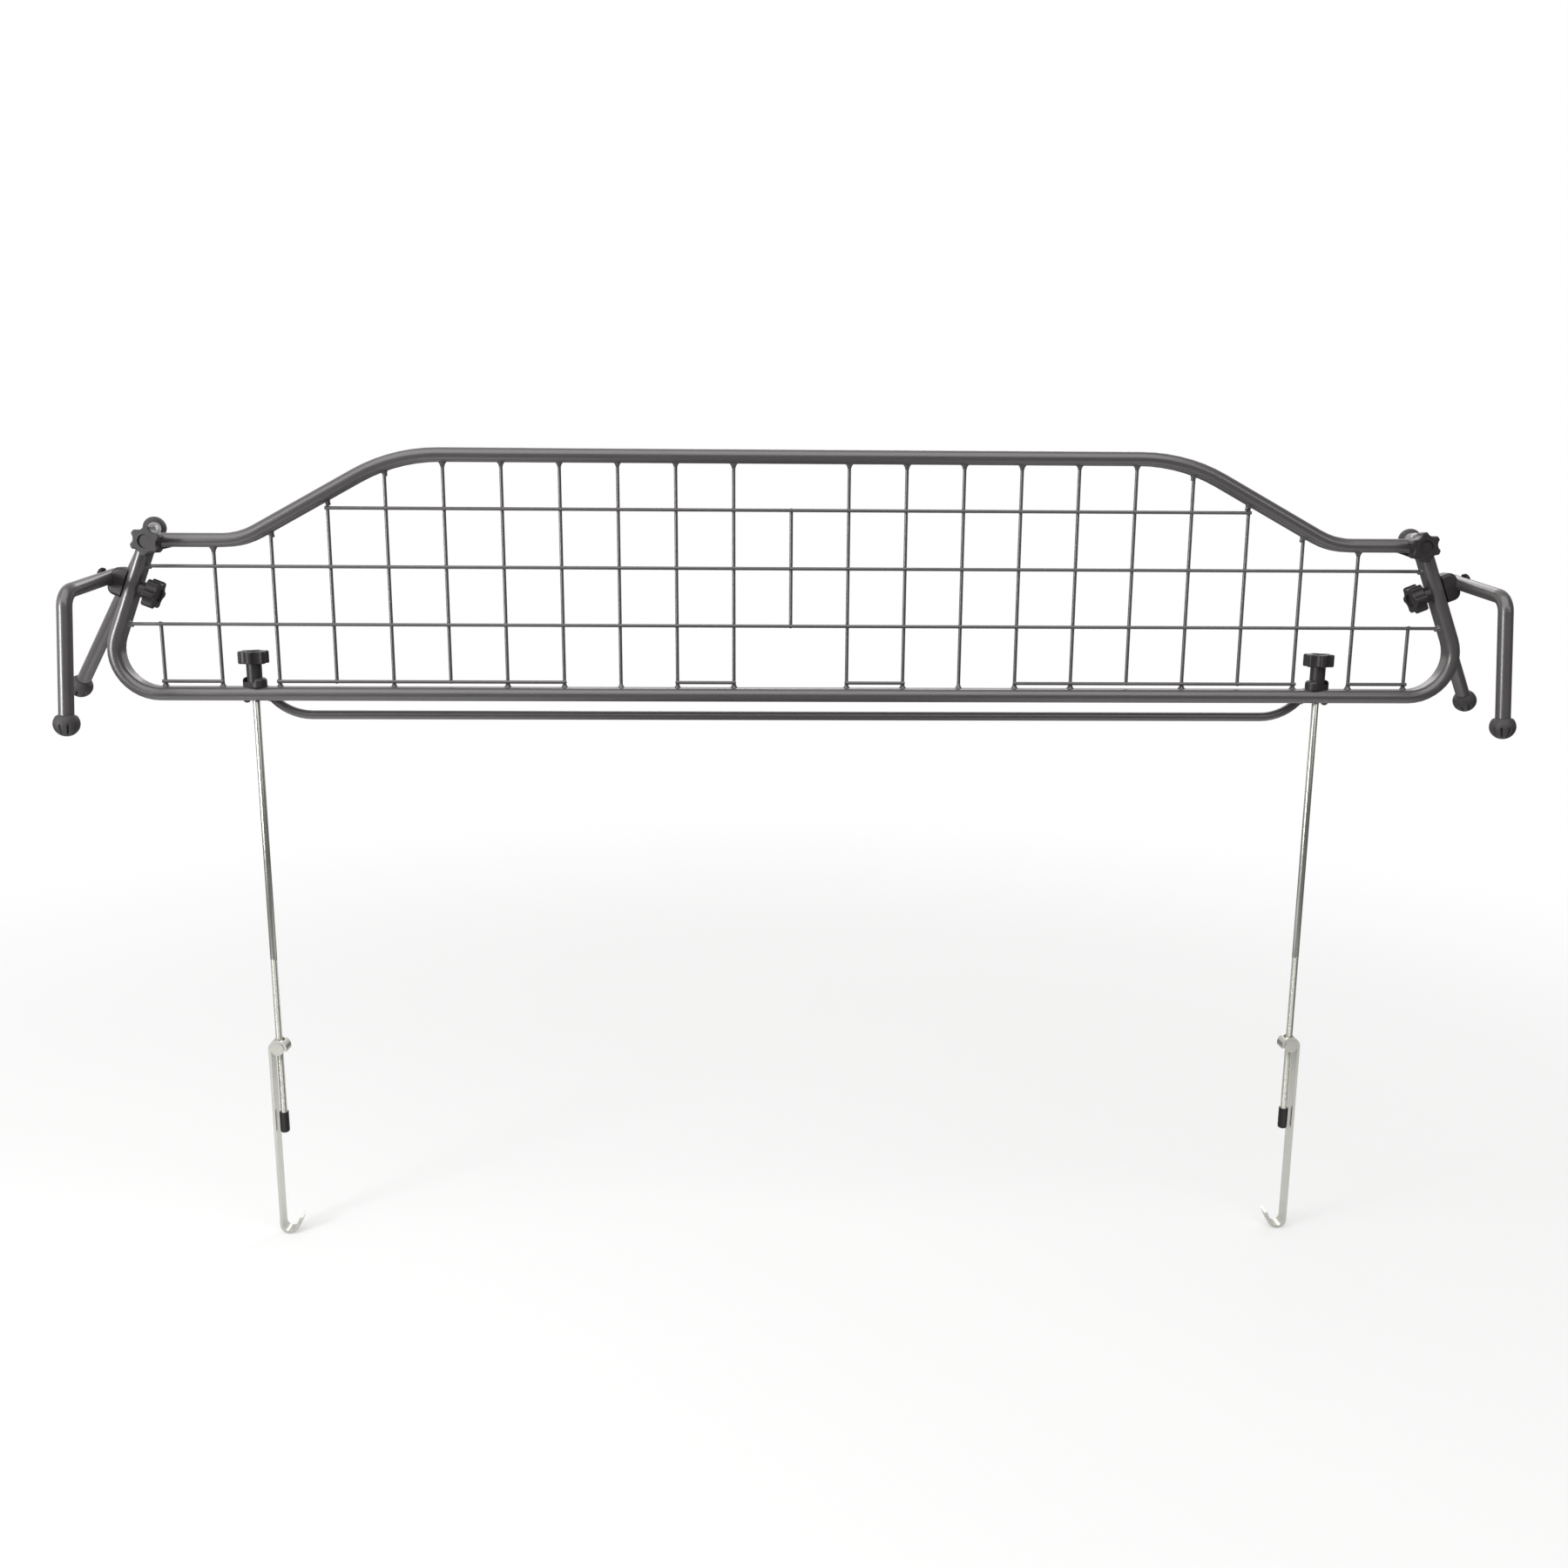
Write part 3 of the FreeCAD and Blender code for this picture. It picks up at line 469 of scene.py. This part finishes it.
def threaded_rod(name, x):
    """Upright rod at x, plain above THREAD_TOP and threaded below."""
    count = int((THREAD_TOP - ROD_END) * ROWS_PER_TURN)
    heights = [ROD_END + row / ROWS_PER_TURN for row in range(count + 1)] + [ROD_TOP - 1, ROD_TOP]
    vertices = []
    for row, height in enumerate(heights):
        shrink = END_CHAMFER if row in (0, len(heights) - 1) else 0.0
        for step in range(AROUND):
            angle = 2 * math.pi * step / AROUND
            radius = thread_radius(height, angle) - shrink
            vertices.append(((x + radius * math.cos(angle)) * MM, radius * math.sin(angle) * MM,
                             height * MM))
    return new_object(name, vertices, capped(len(heights), AROUND))


for side, sign in SIDES:
    rod = threaded_rod(side + "_threaded_rod", sign * ROD_X)
    rod.data.materials.append(FINISHES["zinc"])
    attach(rod, side + "_hook_rod")
    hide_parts(side + "_hook_rod")
print("rods of", len(rod.data.polygons), "faces")

# %% [markdown]
# ## Studio
# The picture is a plain studio shot on white, lit from above and the front. The floor is just under
# the hooks. It keeps the shadow near the object and fades to white further off, so no edge shows.
# For reflections the floor carries painted pools of light near the hooks and is greyer further off.

# %% Floor
FLOOR_REACH = 9
FLOOR_GAP = 0.0005
floor_height = cad_box[0][2] - FLOOR_GAP
floor_corners = [(x * FLOOR_REACH, y * FLOOR_REACH, floor_height)
                 for x, y in ((-1, -1), (1, -1), (1, 1), (-1, 1))]
floor = new_object("floor", floor_corners, [(0, 1, 2, 3)], smooth=False)
paper = bpy.data.materials.new("white_paper")
paper.use_nodes = True
tree = paper.node_tree
tree.nodes.clear()
place = add(tree, "ShaderNodeTexCoord").outputs["Object"]
distance = add(tree, "ShaderNodeVectorMath", {0: place}, operation="LENGTH").outputs["Value"]
fade = add(tree, "ShaderNodeMapRange",
           {"Value": distance, "From Min": 0.6, "From Max": 2.0, "To Min": 0.45, "To Max": 1.0},
           interpolation_type="SMOOTHSTEP").outputs["Result"]
matt = add(tree, "ShaderNodeBsdfDiffuse", {"Color": linear("f6f6f6")}).outputs["BSDF"]
glow = add(tree, "ShaderNodeEmission", {"Color": WHITE, "Strength": 1.0}).outputs["Emission"]
shown = add(tree, "ShaderNodeMixShader", {0: fade, 1: matt, 2: glow}).outputs["Shader"]
# Painted pools of light, seen only in reflections: the floor is light round four spots near the hooks
# and dark grey further off.
mirrored = add(tree, "ShaderNodeVectorMath", {0: place}, operation="ABSOLUTE").outputs["Vector"]
distance_to_painted_pool = add(tree, "ShaderNodeVectorMath", {0: mirrored, 1: (0.6, 0.3, -floor_height)},
           operation="DISTANCE").outputs["Value"]
outside_painted_pool = add(tree, "ShaderNodeMapRange",
             {"Value": distance_to_painted_pool, "From Min": 0.25, "From Max": 0.5, "To Min": 0.0, "To Max": 1.0},
             interpolation_type="SMOOTHSTEP").outputs["Result"]
painted_pool_tone = add(tree, "ShaderNodeMix", {0: outside_painted_pool, 6: linear("eeeeee"), 7: linear("7c7c7c")},
           data_type="RGBA").outputs[2]
painted_pool_floor = add(tree, "ShaderNodeBsdfDiffuse", {"Color": painted_pool_tone}).outputs["BSDF"]
seen = add(tree, "ShaderNodeLightPath").outputs["Is Camera Ray"]
blend = add(tree, "ShaderNodeMixShader", {0: seen, 1: painted_pool_floor, 2: shown}).outputs["Shader"]
add(tree, "ShaderNodeOutputMaterial", {"Surface": blend})
floor.data.materials.append(paper)
print("floor at", round(floor_height, 4))

# %% Surroundings
world = bpy.data.worlds.new("studio")
bpy.context.scene.world = world
world.use_nodes = True
tree = world.node_tree
tree.nodes.clear()
seen = add(tree, "ShaderNodeLightPath").outputs["Is Camera Ray"]
towards = add(tree, "ShaderNodeTexCoord").outputs["Generated"]
behind = add(tree, "ShaderNodeVectorMath", {0: towards, 1: (-0.35, 1.0, 0.1)},
             operation="DOT_PRODUCT").outputs["Value"]
strength = add(tree, "ShaderNodeMapRange",
               {"Value": behind, "From Min": -0.3, "From Max": 0.8, "To Min": 0.14, "To Max": 0.8},
               interpolation_type="SMOOTHSTEP").outputs["Result"]
soft = add(tree, "ShaderNodeBackground", {"Color": linear("f4f3f1"), "Strength": strength}).outputs[0]
white = add(tree, "ShaderNodeBackground", {"Color": WHITE, "Strength": 1.0}).outputs[0]
both = add(tree, "ShaderNodeMixShader", {0: seen, 1: soft, 2: white}).outputs["Shader"]
add(tree, "ShaderNodeOutputWorld", {"Surface": both})
print("world", world.name)


# %% Lights
def soft_box(name, place, size_x, size_y, power):
    """Area light that looks at the middle of the guard."""
    light = bpy.data.lights.new(name, "AREA")
    light.shape = "RECTANGLE"
    light.size = size_x
    light.size_y = size_y
    light.energy = power
    item = bpy.data.objects.new(name, light)
    item.location = place
    item.rotation_euler = (Vector((0, 0, 0)) - Vector(place)).to_track_quat("-Z", "Y").to_euler()
    bpy.context.scene.collection.objects.link(item)
    print(name, power, "W")


soft_box("overhead", (-0.2, -1.1, 1.6), 3.2, 2.2, 38)
soft_box("key_left", (-2.3, -1.5, 0.6), 1.9, 1.7, 16)
soft_box("strip_left", (-1.35, -0.95, 0.12), 0.35, 0.4, 7.2)
soft_box("front_right", (1.9, -2.3, 1.0), 1.0, 0.8, 5)
soft_box("rear", (0.4, 2.2, 1.5), 2.2, 0.8, 14)

# %% Camera
lens = bpy.data.cameras.new("camera")
lens.lens = 31.68
lens.sensor_width = 36
camera = bpy.data.objects.new("camera", lens)
camera.location = (-0.0319, -1.2196, 0.1546)
camera.rotation_euler = [math.radians(angle) for angle in (79.07, -0.30, -1.20)]
bpy.context.scene.collection.objects.link(camera)
bpy.context.scene.camera = camera
bpy.context.scene.view_settings.view_transform = "Standard"
print("camera", lens.lens, "mm")
